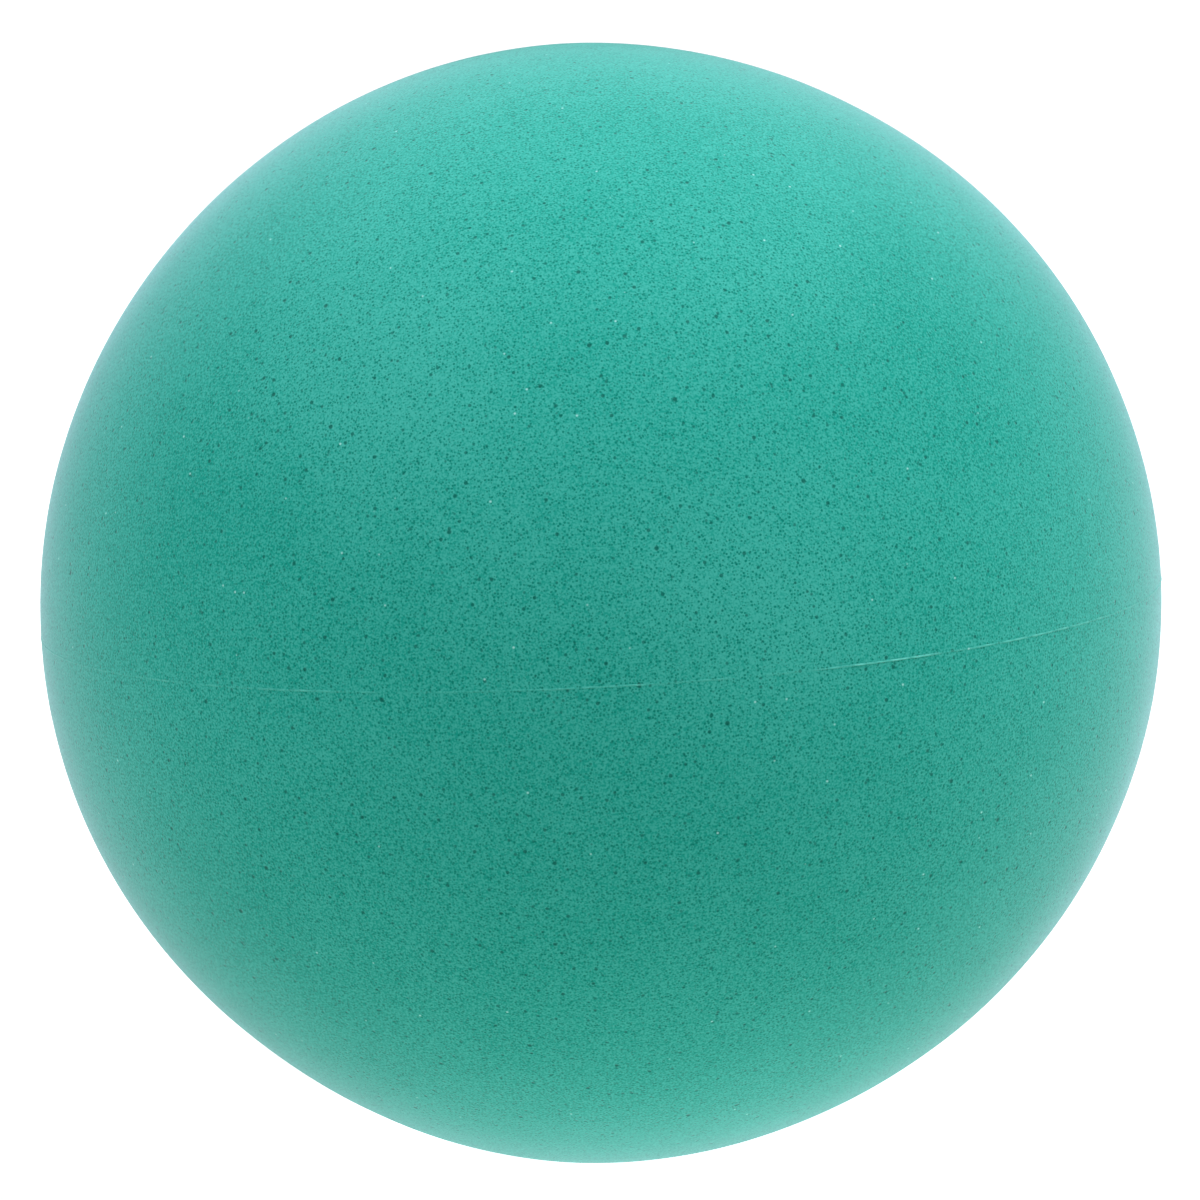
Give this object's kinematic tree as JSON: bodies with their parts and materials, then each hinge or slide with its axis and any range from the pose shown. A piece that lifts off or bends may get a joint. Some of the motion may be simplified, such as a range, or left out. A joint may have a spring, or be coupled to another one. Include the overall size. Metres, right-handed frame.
{
  "type": "sponge ball",
  "caption": "Soft moulded sponge ball: an open-cell foam core in a fine-pored skin, with a thin raised parting line round its middle.",
  "frame": {"origin": "centre of the ball, on the plane where the mould parted", "axes": "+Z normal to the parting plane, away from the flat that the ball rests on; +X and +Y lie in the parting plane"},
  "size_m": [0.1806, 0.1806, 0.1795],
  "materials": {
    "open_cell_foam": "matte",
    "foam_skin": "matte",
    "trimmed_foam": "matte"
  },
  "bodies": {
    "root": {"foam_core": "open_cell_foam", "upper_skin": "foam_skin", "lower_skin": "foam_skin", "parting_flash": "trimmed_foam"}
  },
  "joints": []
}
